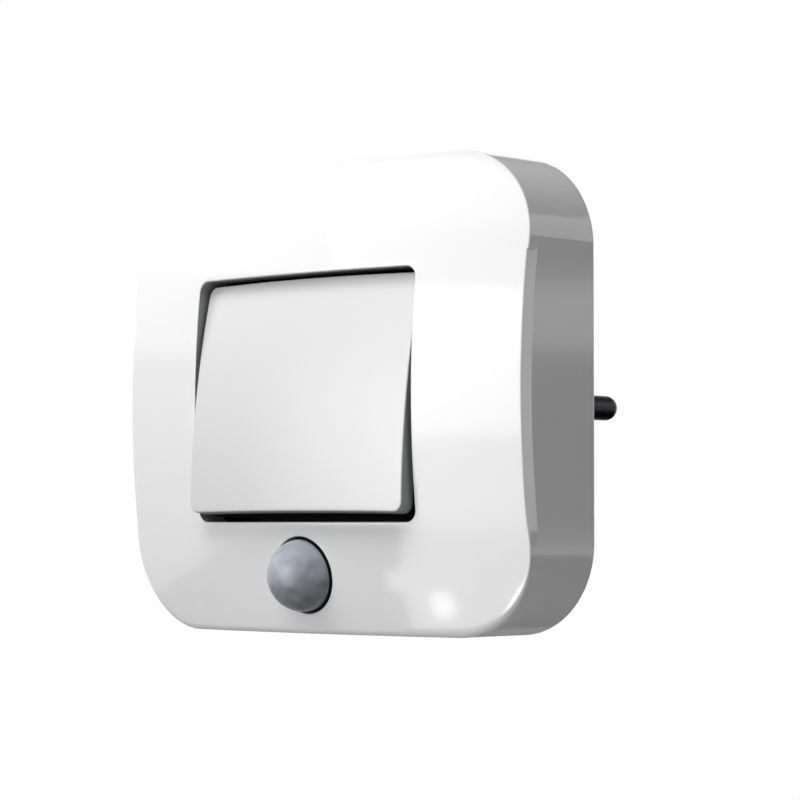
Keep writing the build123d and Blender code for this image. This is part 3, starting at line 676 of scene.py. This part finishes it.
def add_camera():
    """The scene's camera."""
    camera = bpy.data.objects.new("camera", bpy.data.cameras.new("camera"))
    bpy.context.scene.collection.objects.link(camera)
    camera.location = CAMERA_PLACE
    camera.rotation_euler = [math.radians(angle) for angle in CAMERA_TURN]
    camera.data.lens = CAMERA_LENS
    bpy.context.scene.camera = camera


def add_lamp(name, right, up, distance, width, height, level, gloss):
    """A lit panel that faces the night light, met by its gloss or by its body colours. Its
    watts are pi times its area times its level."""
    lamp = bpy.data.lights.new(name, "AREA")
    lamp.shape = "RECTANGLE"
    lamp.size, lamp.size_y = width, height
    lamp.energy = math.pi * width * height * level
    obj = bpy.data.objects.new(name, lamp)
    out = bearing(right, up)
    obj.location = Vector(AIM) + distance * out
    obj.rotation_euler = out.to_track_quat("Z", "Y").to_euler()
    obj.visible_camera = False
    obj.visible_glossy = gloss
    obj.visible_diffuse = not gloss
    bpy.context.scene.collection.objects.link(obj)


def add_world():
    """White where it is seen, straight or in a reflection; dim grey as light."""
    world = bpy.data.worlds.new("studio")
    world.use_nodes = True
    tree = world.node_tree
    path = add(tree, "ShaderNodeLightPath", {})
    seen = path.outputs["Is Camera Ray"]
    for ray in ("Is Glossy Ray", "Is Transmission Ray"):
        seen = add(tree, "ShaderNodeMath", {
            "operation": "MAXIMUM", 0: seen, 1: path.outputs[ray]}).outputs[0]
    level = add(tree, "ShaderNodeMapRange", {"Value": seen, "To Min": AMBIENT, "To Max": 1.0})
    tree.links.new(level.outputs["Result"], tree.nodes["Background"].inputs["Strength"])
    tree.nodes["Background"].inputs["Color"].default_value = (1.0, 1.0, 1.0, 1.0)
    bpy.context.scene.world = world


def add_sheet(name, middle, across, along, facing, surface):
    """A flat sheet of the studio, facing a direction."""
    mesh = bpy.data.meshes.new(name)
    corners = [(x * across / 2, y * along / 2, 0)
               for x, y in ((-1, -1), (1, -1), (1, 1), (-1, 1))]
    mesh.from_pydata(corners, [], [(0, 1, 2, 3)])
    mesh.materials.append(surface)
    sheet = bpy.data.objects.new(name, mesh)
    sheet.location = middle
    sheet.rotation_euler = Vector(facing).to_track_quat("Z", "Y").to_euler()
    bpy.context.scene.collection.objects.link(sheet)
    return sheet


def add_flags():
    """Black cards behind, which darken what the sides mirror and do nothing else."""
    felt = material("black felt", "#0A0A0A", 0.5, 0.05, Roughness=1.0)
    for name, (right, up, distance, width, height) in FLAGS.items():
        out = bearing(right, up)
        flag = add_sheet(name, Vector(AIM) + distance * out, width, height, out, felt)
        flag.visible_camera = flag.visible_diffuse = flag.visible_shadow = False


def add_floor():
    """A plain pale floor well below the night light, which keeps its shadow. Seen straight
    it is lifted nearly to white by an emission that only camera rays meet, and to white
    where the lamps no longer light it."""
    paper = bpy.data.materials.new("matt backdrop paper")
    paper.use_nodes = True
    tree = paper.node_tree
    shader = tree.nodes["Principled BSDF"]
    shader.inputs["Base Color"].default_value = linear("#9E9E9E")
    shader.inputs["Roughness"].default_value = 0.9
    shader.inputs["Emission Color"].default_value = (1.0, 1.0, 1.0, 1.0)
    path = add(tree, "ShaderNodeLightPath", {})
    place = add(tree, "ShaderNodeTexCoord", {})
    away = add(tree, "ShaderNodeVectorMath", {
        "operation": "LENGTH", 0: place.outputs["Object"]})
    lift = add(tree, "ShaderNodeMapRange", {
        "Value": away.outputs["Value"], "From Min": FLOOR_LIT, "From Max": 3 * FLOOR_LIT,
        "To Min": FLOOR_LIFT, "To Max": 1.0})
    lift = add(tree, "ShaderNodeMath", {
        "operation": "MULTIPLY", 0: path.outputs["Is Camera Ray"], 1: lift.outputs["Result"]})
    tree.links.new(lift.outputs["Value"], shader.inputs["Emission Strength"])
    add_sheet("floor", (0.0, 0.0, -FLOOR_DROP), FLOOR_SIZE, FLOOR_SIZE, (0.0, 0.0, 1.0), paper)


looks = finishes()
dress_nodes(looks)
add_surfaces(looks)
add_camera()
for panels, in_gloss in ((SOFT_BOXES, False), (CARDS, True)):
    for panel_name, settings in panels.items():
        add_lamp(panel_name, *settings, in_gloss)
add_world()
add_floor()
add_flags()
bpy.context.scene.view_settings.view_transform = "Standard"
